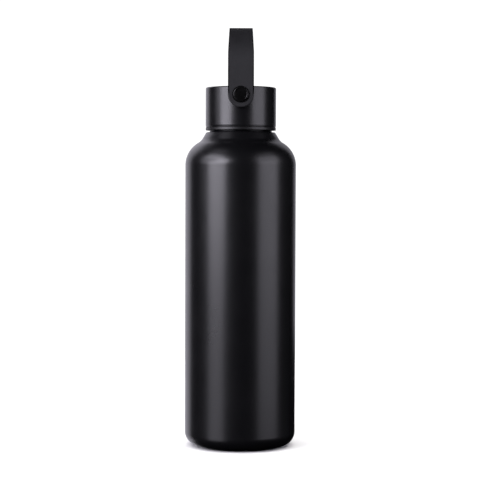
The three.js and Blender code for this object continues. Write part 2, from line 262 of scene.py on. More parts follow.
def node(tree, kind, **inputs):
    made = tree.nodes.new("ShaderNode" + kind)
    for key, value in inputs.items():
        name = key.replace("_", " ")
        if name in made.inputs:
            made.inputs[name].default_value = value
        else:
            setattr(made, key, value)
    return made


def newFinish(name, colour, roughness, metallic=0.0, **sockets):
    material = bpy.data.materials.new(name)
    material.use_nodes = True
    shader = material.node_tree.nodes["Principled BSDF"]
    shader.inputs["Base Color"].default_value = (*colour, 1)
    shader.inputs["Roughness"].default_value = roughness
    shader.inputs["Metallic"].default_value = metallic
    for key, value in sockets.items():
        shader.inputs[key.replace("_", " ")].default_value = value
    return material


def grain(material, scale, stretch=(1, 1, 1), detail=3.0):
    # a noise in the object's own space, stretched along its axes
    tree = material.node_tree
    space = node(tree, "TexCoord")
    mapping = node(tree, "Mapping")
    mapping.inputs["Scale"].default_value = stretch
    texture = node(tree, "TexNoise", Scale=scale, Detail=detail, Roughness=0.6)
    tree.links.new(space.outputs["Object"], mapping.inputs["Vector"])
    tree.links.new(mapping.outputs["Vector"], texture.inputs["Vector"])
    return texture.outputs["Fac"]


def pebbles(material, scale):
    tree = material.node_tree
    space = node(tree, "TexCoord")
    texture = node(tree, "TexVoronoi", Scale=scale)
    texture.feature = "SMOOTH_F1"
    texture.inputs["Smoothness"].default_value = 0.9
    tree.links.new(space.outputs["Object"], texture.inputs["Vector"])
    return texture.outputs["Distance"]


def spread(material, source, low, high, fromLow=0.3, fromHigh=0.7):
    # a value, such as a noise, spread over another range
    tree = material.node_tree
    ranged = node(tree, "MapRange")
    ranged.inputs["From Min"].default_value = fromLow
    ranged.inputs["From Max"].default_value = fromHigh
    ranged.inputs["To Min"].default_value = low
    ranged.inputs["To Max"].default_value = high
    tree.links.new(source, ranged.inputs["Value"])
    return ranged.outputs["Result"]


def drive(material, socket, source):
    tree = material.node_tree
    tree.links.new(source, tree.nodes["Principled BSDF"].inputs[socket])


def mottle(material, source, first, second):
    # the base colour runs between two tones
    tree = material.node_tree
    ramp = node(tree, "ValToRGB")
    ramp.color_ramp.elements[0].position = 0.35
    ramp.color_ramp.elements[1].position = 0.65
    ramp.color_ramp.elements[0].color = (*first, 1)
    ramp.color_ramp.elements[1].color = (*second, 1)
    tree.links.new(source, ramp.inputs["Fac"])
    drive(material, "Base Color", ramp.outputs["Color"])


def emboss(material, reliefs):
    # reliefs are (source, strength, depth in millimetres), the coarsest first
    tree = material.node_tree
    below = None
    for source, strength, depth in reliefs:
        bump = node(tree, "Bump")
        bump.inputs["Strength"].default_value = strength
        bump.inputs["Distance"].default_value = depth * mm
        tree.links.new(source, bump.inputs["Height"])
        if below:
            tree.links.new(below, bump.inputs["Normal"])
        below = bump.outputs["Normal"]
    drive(material, "Normal", below)


def ownPlace(material):
    # a point's place in the object's own space, split into X, Y and Z
    tree = material.node_tree
    space = node(tree, "TexCoord")
    parts = node(tree, "SeparateXYZ")
    tree.links.new(space.outputs["Object"], parts.inputs["Vector"])
    return parts.outputs


def turnedLines(material, scale):
    # fine lathe lines round the axis, which step with height and with distance from the axis
    tree = material.node_tree
    spot = ownPlace(material)
    flat = node(tree, "CombineXYZ")
    length = node(tree, "VectorMath")
    length.operation = "LENGTH"
    both = node(tree, "Math")
    both.operation = "ADD"
    texture = node(tree, "TexNoise", Scale=scale, Detail=4.0, Roughness=0.7)
    texture.noise_dimensions = "1D"
    tree.links.new(spot["X"], flat.inputs["X"])
    tree.links.new(spot["Y"], flat.inputs["Y"])
    tree.links.new(flat.outputs["Vector"], length.inputs[0])
    tree.links.new(length.outputs["Value"], both.inputs[0])
    tree.links.new(spot["Z"], both.inputs[1])
    tree.links.new(both.outputs["Value"], texture.inputs["W"])
    return texture.outputs["Fac"]


def powderCoat():
    # satin black and very slightly pebbled; on the neck inside the cap its reflection is cut away as
    # painted shade, so the gap under the cap looks dark
    material = newFinish("powderCoat", (0.0035, 0.0035, 0.004), 0.29, Specular_IOR_Level=0.5)
    cloud = grain(material, 45)
    fine = grain(material, 2600, detail=2.0)
    drive(material, "Roughness", spread(material, cloud, 0.27, 0.31))
    # painted shade: the coat's reflection falls from full to almost none across the ledge, so the
    # neck inside the gap reads as shadowed
    low, high = ((ledge + offset) * mm for offset in neckSizes["paintedShadeAbove"])
    paintedGapShade = spread(material, ownPlace(material)["Z"], 0.5, 0.06, low, high)
    drive(material, "Specular IOR Level", paintedGapShade)
    mottle(material, fine, (0.0028, 0.0028, 0.0032), (0.0048, 0.0048, 0.0055))
    emboss(material, [(pebbles(material, 1500), 0.05, 0.012), (fine, 0.05, 0.006)])
    return material


def coatedSteel():
    # the cap's sleeve: the same black on turned steel, with fine lathe lines under the coat
    material = newFinish("coatedSteel", (0.0035, 0.0035, 0.004), 0.28, Specular_IOR_Level=0.5)
    cloud = grain(material, 60)
    fine = grain(material, 2800, detail=2.0)
    lines = turnedLines(material, 4200)
    drive(material, "Roughness", spread(material, cloud, 0.27, 0.31))
    mottle(material, fine, (0.0028, 0.0028, 0.0032), (0.0048, 0.0048, 0.0055))
    emboss(material, [(lines, 0.05, 0.01), (fine, 0.05, 0.006)])
    return material


def linerPlastic():
    # moulded black polypropylene with a faint matt skin
    material = newFinish("linerPlastic", (0.006, 0.006, 0.0065), 0.4, Specular_IOR_Level=0.45)
    fine = grain(material, 1900, detail=4.0)
    drive(material, "Roughness", spread(material, grain(material, 90), 0.36, 0.44))
    mottle(material, fine, (0.005, 0.005, 0.0055), (0.008, 0.008, 0.0085))
    emboss(material, [(fine, 0.15, 0.02)])
    return material


def strapRubber():
    # matt flexible plastic: a dense fine grain, cloudy tone and a soft sheen
    material = newFinish("strapRubber", (0.0125, 0.0125, 0.0135), 0.62, Specular_IOR_Level=0.4)
    fine = grain(material, 3200, detail=5.0)
    cloud = grain(material, 120, stretch=(1, 1, 0.4), detail=4.0)
    drive(material, "Roughness", spread(material, cloud, 0.56, 0.68))
    mottle(material, cloud, (0.0115, 0.0115, 0.0125), (0.0135, 0.0135, 0.0145))
    emboss(material, [(cloud, 0.05, 0.05), (fine, 0.22, 0.02)])
    return material


def pinBlack():
    # near-black and smoother than the rest, with a faint grain
    material = newFinish("pinBlack", (0.0012, 0.0012, 0.0012), 0.26, Specular_IOR_Level=0.35)
    fine = grain(material, 2400, detail=3.0)
    drive(material, "Roughness", spread(material, grain(material, 300), 0.26, 0.32))
    mottle(material, fine, (0.0008, 0.0008, 0.0008), (0.0016, 0.0016, 0.0016))
    emboss(material, [(fine, 0.08, 0.01)])
    return material


def brightSteel(name, tone, roughLow, roughHigh, lineScale):
    # drawn and polished stainless steel, with fine rings round the axis
    material = newFinish(name, tone, roughLow, 1.0)
    lines = turnedLines(material, lineScale)
    cloud = grain(material, 70, detail=4.0)
    drive(material, "Roughness", spread(material, cloud, roughLow, roughHigh))
    mottle(material, cloud, tuple(0.93 * c for c in tone), tone)
    emboss(material, [(lines, 0.12, 0.02)])
    return material


def siliconeGrey():
    # soft and slightly see-through at its edges; the radius is in metres
    softness = {"Subsurface_Weight": 0.1, "Subsurface_Radius": (0.002, 0.002, 0.002)}
    material = newFinish("siliconeGrey", (0.45, 0.46, 0.47), 0.48, **softness)
    fine = grain(material, 1500, detail=4.0)
    drive(material, "Roughness", spread(material, fine, 0.42, 0.56))
    mottle(material, grain(material, 200), (0.42, 0.43, 0.44), (0.48, 0.49, 0.50))
    emboss(material, [(fine, 0.1, 0.02)])
    return material


def nylonWhite():
    material = newFinish("nylonWhite", (0.7, 0.69, 0.64), 0.42)
    fine = grain(material, 1800, detail=3.0)
    drive(material, "Roughness", spread(material, fine, 0.38, 0.5))
    mottle(material, grain(material, 350), (0.66, 0.65, 0.6), (0.74, 0.73, 0.69))
    emboss(material, [(fine, 0.1, 0.01)])
    return material


def insertBrass():
    material = newFinish("insertBrass", (0.72, 0.5, 0.2), 0.3, 1.0)
    fine = grain(material, 900, detail=4.0)
    drive(material, "Roughness", spread(material, fine, 0.24, 0.4))
    mottle(material, grain(material, 400), (0.62, 0.41, 0.15), (0.76, 0.55, 0.24))
    emboss(material, [(fine, 0.15, 0.02)])
    return material


def foamWhite():
    material = newFinish("foamWhite", (0.82, 0.81, 0.76), 0.9)
    cells = pebbles(material, 900)
    mottle(material, cells, (0.74, 0.73, 0.68), (0.86, 0.85, 0.8))
    drive(material, "Roughness", spread(material, cells, 0.84, 0.96))
    emboss(material, [(cells, 0.5, 0.25)])
    return material


def wrapFoil():
    # crinkled bright foil
    material = newFinish("wrapFoil", (0.86, 0.86, 0.87), 0.16, 1.0)
    creases = grain(material, 60, stretch=(1, 1, 0.35), detail=6.0)
    fine = grain(material, 700, detail=3.0)
    drive(material, "Roughness", spread(material, fine, 0.12, 0.24))
    mottle(material, creases, (0.78, 0.78, 0.79), (0.9, 0.9, 0.91))
    emboss(material, [(creases, 0.5, 0.4), (fine, 0.1, 0.03)])
    return material


def dullMetal(name, dark, light, scale):
    material = newFinish(name, dark, 0.6, 0.8)
    lumps = grain(material, scale, detail=5.0)
    drive(material, "Roughness", spread(material, lumps, 0.5, 0.75))
    mottle(material, lumps, dark, light)
    emboss(material, [(lumps, 0.3, 0.06)])
    return material


finishes = {
    "powder": powderCoat(),
    "coated": coatedSteel(),
    "plastic": linerPlastic(),
    "strap": strapRubber(),
    "pin": pinBlack(),
    "drawn": brightSteel("drawnSteel", (0.60, 0.60, 0.59), 0.26, 0.36, 2200),
    "polished": brightSteel("polishedSteel", (0.68, 0.68, 0.67), 0.17, 0.25, 2600),
    "silicone": siliconeGrey(),
    "nylon": nylonWhite(),
    "brass": insertBrass(),
    "foam": foamWhite(),
    "foil": wrapFoil(),
    "solder": dullMetal("portSolder", (0.34, 0.34, 0.35), (0.46, 0.46, 0.47), 800),
    "getter": dullMetal("getterAlloy", (0.13, 0.13, 0.14), (0.22, 0.22, 0.23), 1600),
}
print("finishes ready:", len(finishes))


# outer shell

shellSizes = {
    "wall": 0.5,
    "corner": 9.0,
    "landInner": 25.4,
    "rimHeight": 3.4,
    "wallHeight": 187.2,
    "shoulder": 17.2,
    "throat": 8.0,
    "flareAngle": 30.7,
    "flareLength": 4.8,
    "steps": 192,
}


def outerShell(s):
    flare = math.radians(s["flareAngle"])
    ledgeRadius = capRadius - neckSizes["ledgeInset"]
    both = s["shoulder"] + s["throat"]
    drop = bodyRadius - ledgeRadius - s["flareLength"] * math.sin(flare)
    bend = math.acos((s["shoulder"] + s["throat"] * math.cos(flare) - drop) / both)
    bendAngle = math.degrees(bend)
    low = (bodyRadius - s["shoulder"], s["wallHeight"])
    high = (low[0] + both * math.cos(bend), low[1] + both * math.sin(bend))
    corner = (bodyRadius - s["corner"], s["corner"])
    wallFoot = collarTop + neckSizes["wallStep"]
    outline = softCorners([
        (s["landInner"], s["rimHeight"]),
        (s["landInner"], 0, 0.6),
        (corner[0], 0),
    ])
    outline += arcPoints(corner, s["corner"], -90, 0, 22)[1:]
    outline += climb(bodyRadius, s["corner"], s["wallHeight"], 12)[1:]
    outline += arcPoints(low, s["shoulder"], 0, bendAngle, 26)[1:]
    outline += arcPoints(high, s["throat"], 180 + bendAngle, 180 + s["flareAngle"], 14)[1:]
    outline += softCorners([
        outline[-1],
        (ledgeRadius, ledge, 0.9),
        (collarRadius, ledge, 0.3),
        (collarRadius, collarTop, 0.4),
        (neckRadius, collarTop, 0.25),
        (neckRadius, wallFoot),
    ])[1:]
    outline += climb(neckRadius, wallFoot, shellTop, threadSpacing)[1:]
    piece = turnPiece("outerShell", outline, s["steps"])
    rollThread(piece, neckRadius, neckRidge, collarTop + 0.3, shellTop)
    applyModifier(piece, "SOLIDIFY", thickness=s["wall"] * mm, offset=-1, use_even_offset=True)
    shade(piece)
    return piece


place(outerShell(shellSizes), finishes["powder"], "bottle", "powder_coat", "outer_shell")
print("outer shell turned")


# base: the welded pan, its solder bead and the pressed cover

panLow, panHigh = nodeBox("outer_base")
coverLow, coverHigh = nodeBox("base_cover")
baseSizes = {
    "panWall": 0.5,
    "dishRadius": 5.0,
    "dishDepth": 0.6,
    "port": 1.5,
    "coverWall": 0.4,
    "ringRadii": (8.0, 15.0),
    "ringRise": 0.45,
    "ringWidth": 1.2,
    "steps": 128,
}


def basePan(s):
    web = panHigh.z - s["dishDepth"] - s["panWall"]
    top = web + s["panWall"]
    outer = panHigh.x
    outline = softCorners([
        (s["port"], web + s["dishDepth"]),
        (s["dishRadius"], web + s["dishDepth"], 0.3),
        (s["dishRadius"] + s["dishDepth"], web, 0.3),
        (outer - s["panWall"], web, 0.3),
        (outer - s["panWall"], panLow.z, 0.1),
        (outer, panLow.z, 0.1),
        (outer, top, 0.7),
        (s["dishRadius"] + s["dishDepth"], top, 0.3),
        (s["dishRadius"], top + s["dishDepth"], 0.3),
        (s["port"], top + s["dishDepth"]),
    ])
    piece = turnPiece("basePan", outline + outline[:1], s["steps"])
    shade(piece)
    return piece


solderSizes = {"headShare": 0.43, "crownShare": 0.7, "stem": 1.2, "steps": 48}


def solderBead(s):
    # a mushroom: a low rounded head under the pan, and a stem up into the port
    low, high = nodeBox("port_plug")
    middle = low.z + (high.z - low.z) * s["headShare"]
    outline = softCorners([
        (0, low.z),
        (high.x * s["crownShare"], low.z, 1.5),
        (high.x, middle, 0.15),
        (s["stem"], middle, 0.1),
        (s["stem"], high.z, 0.2),
        (0, high.z),
    ])
    piece = turnPiece("solderBead", outline, s["steps"])
    shade(piece)
    return piece


def baseCover(s):
    # a shallow pressed disc: its middle is set up a little inside two stiffening rings
    rise = s["ringRise"]
    width = s["ringWidth"]
    face = coverLow.z
    first, second = s["ringRadii"]
    outline = softCorners([
        (0, face + rise),
        (first, face + rise, 1.0),
        (first + width, face, 1.0),
        (second, face, 1.0),
        (second + width, face + rise, 1.0),
        (second + 2 * width, face + rise, 1.0),
        (second + 3 * width, face, 1.0),
        (coverHigh.x, face, 0.5),
        (coverHigh.x, coverHigh.z),
    ])
    piece = turnPiece("baseCover", outline, s["steps"])
    applyModifier(piece, "SOLIDIFY", thickness=s["coverWall"] * mm, offset=-1, use_even_offset=True)
    shade(piece)
    return piece


place(basePan(baseSizes), finishes["drawn"], "bottle", "bare_steel", "outer_base")
place(solderBead(solderSizes), finishes["solder"], "bottle", "port_solder", "port_plug")
place(baseCover(baseSizes), finishes["coated"], "bottle", "coated_steel", "base_cover")
print("base made")


# inner flask

flaskSizes = {
    "wall": 0.4,
    "shoulder": 14.1,
    "lipThickness": 0.6,
    "lipRound": 0.28,
    "neckRise": 0.5,
    "neckGap": 0.6,
    "domeRise": 0.8,
    "domeEdge": (9, 7),
    "baseCorner": 3.4,
    "steps": 160,
}


def innerFlask(s):
    radius = flaskHigh.x
    neck = neckRadius - shellSizes["wall"] - s["neckGap"]
    low = shellSizes["wallHeight"]
    rise = collarTop - s["neckRise"] - low
    bend = 2 * math.atan((radius - neck) / rise)
    throat = rise / math.sin(bend) - s["shoulder"]
    bendAngle = math.degrees(bend)
    bore = neck - s["wall"]
    outer = climb(radius, flaskLow.z, low, 20)
    outer += arcPoints((radius - s["shoulder"], low), s["shoulder"], 0, bendAngle, 18)[1:]
    outer += arcPoints((neck + throat, low + rise), throat, 180 + bendAngle, 180, 18)[1:]
    inner = climb(radius - s["wall"], flaskLow.z, low, 20)
    inner += arcPoints((radius - s["shoulder"], low), s["shoulder"] - s["wall"], 0, bendAngle, 18)[1:]
    inner += arcPoints((neck + throat, low + rise), throat + s["wall"], 180 + bendAngle, 180, 18)[1:]
    under = lip - s["lipThickness"]
    rim = softCorners([
        (neck, under - 1),
        (neck, under, 0.15),
        (neckRadius, under, s["lipRound"]),
        (neckRadius, lip, s["lipRound"]),
        (bore, lip, 0.5),
        (bore, under - 1.5),
    ])
    outline = outer + rim + inner[::-1]
    piece = turnPiece("innerFlask", outline + outline[:1], s["steps"])
    shade(piece)
    return piece


def innerBase(s):
    low, high = nodeBox("inner_base")
    dome = low.z + s["domeRise"]
    top, foot = s["domeEdge"]
    outline = softCorners([
        (0, dome),
        (high.x - top, dome, 3.0),
        (high.x - foot, low.z, 2.0),
        (high.x, low.z, s["baseCorner"]),
        (high.x, high.z),
    ], 8)
    piece = turnPiece("innerBase", outline, s["steps"])
    applyModifier(piece, "SOLIDIFY", thickness=s["wall"] * mm, offset=-1, use_even_offset=True)
    shade(piece)
    return piece


vacuumSizes = {"foilWall": 0.1, "foilEdge": 0.04, "foilStep": 8, "foilEnd": 4, "cupWall": 0.4}


def foilWrap(s):
    # one thin sleeve of foil, with rings up its outside
    low, high = nodeBox("heat_foil")
    inside = high.x - s["foilWall"]
    foot = softCorners([(inside, low.z), (high.x, low.z, s["foilEdge"]), (high.x, high.z)])[:-1]
    side = climb(high.x, low.z + s["foilEnd"], high.z - s["foilEnd"], s["foilStep"])
    top = softCorners([(high.x, low.z), (high.x, high.z, s["foilEdge"]), (inside, high.z)])[1:]
    piece = turnPiece("foilWrap", foot + side + top + foot[:1], 128)
    shade(piece)
    return piece


def offAxis(name):
    # a round piece beside the axis: its floor, its top, its radius and where it stands
    low, high = nodeBox(name)
    centre = (low + high) / 2 * mm
    return low.z, high.z, (high.x - low.x) / 2, (centre.x, centre.y, 0)


def getterCup(s):
    low, high, radius, spot = offAxis("getter_holder")
    outline = softCorners([(0, low), (radius, low, 0.5), (radius, high)])
    piece = turnPiece("getterCup", outline, 64, origin=spot)
    thickness = s["cupWall"] * mm
    applyModifier(piece, "SOLIDIFY", thickness=thickness, offset=-1, use_even_offset=True)
    shade(piece)
    return piece


def getterPill():
    low, high, radius, spot = offAxis("getter")
    outline = softCorners([(0, low), (radius, low, 0.2), (radius, high, 0.3), (0, high)])
    piece = turnPiece("getterPill", outline, 48, origin=spot)
    shade(piece)
    return piece


place(innerFlask(flaskSizes), finishes["polished"], "bottle", "polished_steel", "inner_flask")
place(innerBase(flaskSizes), finishes["polished"], "bottle", "polished_steel", "inner_base")
place(foilWrap(vacuumSizes), finishes["foil"], "bottle", "foil", "heat_foil")
place(getterCup(vacuumSizes), finishes["drawn"], "bottle", "bare_steel", "getter_holder")
place(getterPill(), finishes["getter"], "bottle", "getter_alloy", "getter")
print("inner flask and vacuum parts made")


# cap sleeve

sleeveSizes = {
    "wall": 0.6,
    "edge": 0.9,
    "foot": 0.12,
    "grooves": (1.3, 2.3, 3.3),
    "grooveDepth": 0.02,
    "grooveWidth": 0.3,
    "boltHole": 3.6,
    "reach": 4,
    "ringSpacing": 1.2,
    "steps": 192,
}


def cutHole(piece, radius, first, second):
    # a round hole along the pins' axis, from one distance along Y to another
    deselectAll()
    low, high = sorted((first, second))
    middle = (low + high) / 2
    bpy.ops.mesh.primitive_cylinder_add(
        vertices=64,
        radius=radius * mm,
        depth=(high - low) * mm,
        location=(0, middle * mm, pivotHeight * mm),
        rotation=(quarterTurn, 0, 0),
    )
    cutter = bpy.context.object
    applyModifier(piece, "BOOLEAN", operation="DIFFERENCE", object=cutter, solver="EXACT")
    bpy.data.objects.remove(cutter)


def capSleeve(s):
    outline = softCorners([
        (0, capTop - s["wall"]),
        (capRadius - s["wall"], capTop - s["wall"], s["edge"] - s["wall"]),
        (capRadius - s["wall"], sleeveLow.z),
        (capRadius, sleeveLow.z, s["foot"]),
    ])
    for height in s["grooves"]:
        middle = sleeveLow.z + height
        half = s["grooveWidth"] / 2
        floor = capRadius - s["grooveDepth"]
        outline += [(capRadius, middle - half), (floor, middle), (capRadius, middle + half)]
    outline += climb(capRadius, pivotHeight - 6, capTop - s["ringSpacing"], s["ringSpacing"])
    outline += softCorners([outline[-1], (capRadius, capTop, s["edge"]), (0, capTop)], 8)[1:]
    piece = turnPiece("capSleeve", outline, s["steps"])
    for side in (-1, 1):
        inside, outside = side * (capRadius - s["reach"]), side * (capRadius + s["reach"])
        cutHole(piece, s["boltHole"], inside, outside)
    shade(piece)
    return piece


place(capSleeve(sleeveSizes), finishes["coated"], "cap", "coated_steel", "cap_shell")
print("cap sleeve turned")


# cap liner

linerSizes = {
    "wall": 1.5,
    "flange": 1.7,
    "flangeInset": 0.05,
    "roofLow": sealHigh.z + 0.3,
    "roof": 1.4,
    "boreRadius": 2.3,
    "insertRadius": 3.5,
    "bossWall": 2.3,
    "bossFace": -pinHigh.y - 0.3,
    "bossUnderTop": 0.2,
    "bossEdge": 0.4,
    "steps": 160,
}


def pivotBoss(s, side):
    # one square boss, softened at its edges, that backs the pin's insert
    half = s["insertRadius"] + s["bossWall"]
    near, far = sorted((side * s["bossFace"], side * (linerInner + s["wall"] * 0.4)))
    low = s["roofLow"] + s["roof"] / 2
    middle = ((near + far) / 2 * mm, (low + linerHigh.z) / 2 * mm)
    deselectAll()
    bpy.ops.mesh.primitive_cube_add(size=mm, location=(0, *middle))
    boss = bpy.context.object
    bpy.ops.object.mode_set(mode="EDIT")
    bpy.ops.mesh.select_all(action="SELECT")
    size = (2 * half, far - near, linerHigh.z - s["bossUnderTop"] - low)
    bpy.ops.transform.resize(value=size, center_override=boss.location)
    bpy.ops.object.mode_set(mode="OBJECT")
    bpy.ops.object.transform_apply(location=True, rotation=True, scale=True)
    applyModifier(boss, "BEVEL", width=s["bossEdge"] * mm, segments=3)
    return boss


def capLiner(s):
    roofTop = s["roofLow"] + s["roof"]
    outer = linerInner + s["wall"]
    flangeTop = linerLow.z + s["flange"]
    rim = capRadius - s["flangeInset"]
    wallFoot = linerLow.z + 1.0
    wallTop = s["roofLow"] - 1.5
    outline = softCorners([
        (0, s["roofLow"]),
        (linerInner, s["roofLow"], 0.8),
        (linerInner, wallTop),
    ])
    outline += climb(linerInner, wallFoot, wallTop, threadSpacing)[::-1][1:]
    outline += softCorners([
        (linerInner, wallFoot),
        (linerInner, linerLow.z, 0.35),
        (rim, linerLow.z, 0.15),
        (rim, flangeTop, 0.08),
        (outer, flangeTop, 0.2),
        (outer, linerHigh.z, 0.4),
        (linerInner, linerHigh.z, 0.4),
        (linerInner, roofTop, 0.8),
        (0, roofTop),
    ])[1:]
    piece = turnPiece("capLiner", outline, s["steps"])
    rollThread(piece, linerInner, linerRidge, linerLow.z + 0.4, s["roofLow"] - 1)
    for side in (-1, 1):
        boss = pivotBoss(s, side)
        applyModifier(piece, "BOOLEAN", operation="UNION", object=boss, solver="EXACT")
        bpy.data.objects.remove(boss)
        cutHole(piece, s["insertRadius"], side * (s["bossFace"] - 2), side * linerInner)
        cutHole(piece, s["boreRadius"], side * (linerInner - 1), side * (outer + 1))
    shade(piece)
    return piece


foamSizes = {"edge": 0.8, "bossGap": 0.3, "reach": 24, "steps": 96}


def foamPuck(s):
    # a round puck with a notch at each side for the liner's bosses
    low, high = nodeBox("cap_insulation")
    outline = softCorners([
        (0, low.z),
        (high.x, low.z, s["edge"]),
        (high.x, high.z, s["edge"]),
        (0, high.z),
    ])
    piece = turnPiece("foamPuck", outline, s["steps"])
    half = linerSizes["insertRadius"] + linerSizes["bossWall"] + s["bossGap"]
    for side in (-1, 1):
        near, far = sorted((side * (linerSizes["bossFace"] - s["bossGap"]), side * s["reach"]))
        middle = ((near + far) / 2 * mm, (low.z + high.z) / 2 * mm)
        deselectAll()
        bpy.ops.mesh.primitive_cube_add(size=2 * mm, location=(0, *middle))
        cutter = bpy.context.object
        cutter.scale = (half, (far - near) / 2, high.z - low.z)
        bpy.ops.object.transform_apply(location=True, rotation=True, scale=True)
        applyModifier(piece, "BOOLEAN", operation="DIFFERENCE", object=cutter, solver="EXACT")
        bpy.data.objects.remove(cutter)
    shade(piece)
    return piece


# distances in from the ring's outside: its bore, and the foot and crest of its bead
sealSizes = {
    "width": 4.0,
    "beadFoot": (2.7, 0.8),
    "beadCrest": (2.3, 1.2),
    "bead": 0.35,
    "steps": 128,
}


def sealRing(s):
    # a soft ring with one raised bead where it meets the lip
    outer = sealHigh.x
    bore = outer - s["width"]
    face = sealLow.z + s["bead"]
    outline = softCorners([
        (bore, face, 0.3),
        (outer - s["beadFoot"][0], face, 0.25),
        (outer - s["beadCrest"][0], sealLow.z, 0.35),
        (outer - s["beadCrest"][1], sealLow.z, 0.35),
        (outer - s["beadFoot"][1], face, 0.25),
        (outer, face, 0.3),
        (outer, sealHigh.z, 0.3),
        (bore, sealHigh.z, 0.3),
    ])
    piece = turnPiece("sealRing", outline + outline[:1], s["steps"])
    shade(piece)
    return piece


place(capLiner(linerSizes), finishes["plastic"], "cap", "black_polypropylene", "cap_liner")
place(foamPuck(foamSizes), finishes["foam"], "cap", "foam", "cap_insulation")
place(sealRing(sealSizes), finishes["silicone"], "seal", "silicone", "cap_seal")
print("cap liner, foam and seal made")


# pivot

pivotSizes = {
    "headRound": 0.5,
    "dish": 0.08,
    "dishRadius": 3.8,
    "shank": 2.0,
    "headThickness": 2.8,
    "threadTop": 22.4,
    "pitch": 0.8,
    "threadDepth": 0.18,
    "knurlDepth": 0.16,
    "insertGap": 0.3,
    "insertChamfer": 0.3,
    "insertGroove": 0.45,
    "bushBore": 2.3,
    "washerBore": 3.6,
    "steps": 72,
    "ringSteps": 64,
}


def pinOnAxis(name, outline, steps):
    # distances run outwards from the bottle's axis, towards the front
    places = [(r, -distance) for r, distance in outline]
    return turnPiece(name, places, steps, axis="Y", origin=(0, 0, pivotHeight * mm))


def pivotPin(s):
    face, end = -pinLow.y, -pinHigh.y
    head = pinHigh.x
    back = face - s["headThickness"]
    top = s["threadTop"]
    outline = softCorners([
        (0, face - s["dish"]),
        (s["dishRadius"], face - s["dish"], 0.1),
        (s["dishRadius"] + 0.25, face, 0.15),
        (head, face, s["headRound"]),
        (head, back, 0.1),
        (s["shank"], back, 0.15),
        (s["shank"], top + 0.5),
    ])
    turns = int((top - end - 0.6) / s["pitch"])
    for i in range(turns):
        outline.append((s["shank"], top - i * s["pitch"]))
        outline.append((s["shank"] - s["threadDepth"], top - (i + 0.5) * s["pitch"]))
    outline += softCorners([
        (s["shank"], top - turns * s["pitch"]),
        (s["shank"], end, 0.3),
        (0, end),
    ])
    piece = pinOnAxis("pivotPinFront", outline, s["steps"])
    shade(piece)
    return piece


def plainRing(name, inner, low, high, rounding):
    # a bush or washer whose outside and ends come from its node's box
    outer, near, far = high.x, -high.y, -low.y
    outline = softCorners([
        (inner, near, rounding),
        (inner, far, rounding),
        (outer, far, rounding),
        (outer, near, rounding),
    ])
    piece = pinOnAxis(name, outline + outline[:1], pivotSizes["ringSteps"])
    shade(piece)
    return piece


def bossInsert(s):
    # a heat-set insert: two knurled belts with a plain groove between them
    near, far = -insertHigh.y, -insertLow.y
    middle = (near + far) / 2
    outer = insertHigh.x
    bore = s["shank"] + s["insertGap"]
    chamfer = s["insertChamfer"]
    waist = outer - s["insertGroove"]
    outline = [
        (bore, near),
        (outer - chamfer, near),
        (outer, near + chamfer),
        (outer, middle - 0.5),
        (waist, middle - 0.3),
        (waist, middle + 0.3),
        (outer, middle + 0.5),
        (outer, far - chamfer),
        (outer - chamfer, far),
        (bore, far),
    ]
    piece = pinOnAxis("bossInsertFront", outline + outline[:1], s["steps"])
    for vertex in piece.data.vertices:
        x, z = vertex.co.x / mm, vertex.co.z / mm - pivotHeight
        column = round(math.atan2(z, x) / fullTurn * s["steps"])
        if math.hypot(x, z) > outer - 0.05 and column % 2:
            share = 1 - s["knurlDepth"] / outer
            vertex.co.x = x * share * mm
            vertex.co.z = (z * share + pivotHeight) * mm
    shade(piece, 20)
    return piece


pin = pivotPin(pivotSizes)
bush = plainRing("pivotBushFront", pivotSizes["bushBore"], bushLow, bushHigh, 0.2)
washer = plainRing("frictionWasherFront", pivotSizes["washerBore"], washerLow, washerHigh, 0.12)
pivotPieces = [
    (pin, "pin", "pin_black", "pivot_pin"),
    (bush, "nylon", "nylon", "pivot_bush"),
    (washer, "plastic", "black_polypropylene", "friction_washer"),
    (bossInsert(pivotSizes), "brass", "insert_brass", "boss_insert"),
]
for piece, finish, slotName, nodeName in pivotPieces:
    twin = copyTurned(piece, piece.name.replace("Front", "Back"), math.pi)
    place(piece, finishes[finish], "cap", slotName, nodeName + "_front")
    place(twin, finishes[finish], "cap", slotName, nodeName + "_back")
print("pivots made")


# carry handle

strapSizes = {
    "thickness": 2.8,
    "crownWidth": 15.3,
    "taperFrom": 28.0,
    "seatRadius": 5.3,
    "seatDepth": 1.8,
    "seatRing": 1.5,
    "boltHole": 3.6,
    "edgeRound": 0.75,
    "lipRound": 0.4,
    "near": 0.01,
    "sides": 64,
    "legSteps": 4,
    "archSteps": 28,
}


def selectOnly(piece, kind, test):
    # selects, in edit mode, only the faces or edges that pass the test
    bpy.ops.mesh.select_mode(type=kind)
    bpy.ops.mesh.select_all(action="DESELECT")
    bpy.ops.object.mode_set(mode="OBJECT")
    mesh = piece.data
    parts = mesh.polygons if kind == "FACE" else mesh.edges
    for part in parts:
        spots = [mesh.vertices[i].co / mm for i in part.vertices]
        if test(part, spots):
            part.select = True
    bpy.ops.object.mode_set(mode="EDIT")


def fromPin(spot):
    return math.hypot(spot.x, spot.z - pivotHeight)


